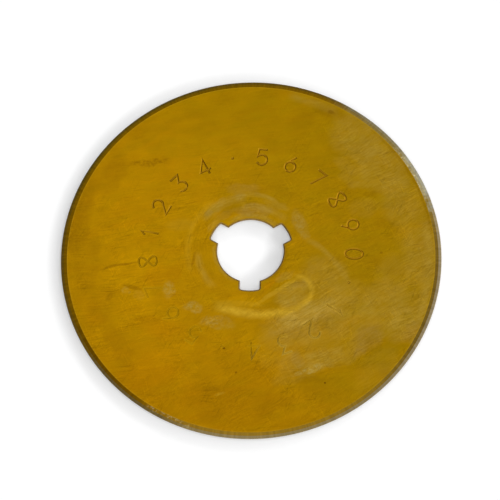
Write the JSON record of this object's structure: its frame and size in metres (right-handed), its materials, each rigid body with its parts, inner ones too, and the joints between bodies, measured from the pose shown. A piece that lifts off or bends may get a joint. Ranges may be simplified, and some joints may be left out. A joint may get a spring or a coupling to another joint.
{
  "type": "rotary cutter blade",
  "caption": "Round steel blade with a ground edge and a notched centre bore, for a hand-held rotary cutter.",
  "frame": {"origin": "on the bore's axis at the lower flat face, which is the bottom centre of the blade's box", "axes": "+Z along the bore's axis, square to the flat faces; one of the three drive notches points along -Y"},
  "size_m": [0.06, 0.06, 0.0003],
  "materials": {
    "coated_steel": "satin"
  },
  "bodies": {
    "root": {"blade": "coated_steel"}
  },
  "joints": []
}
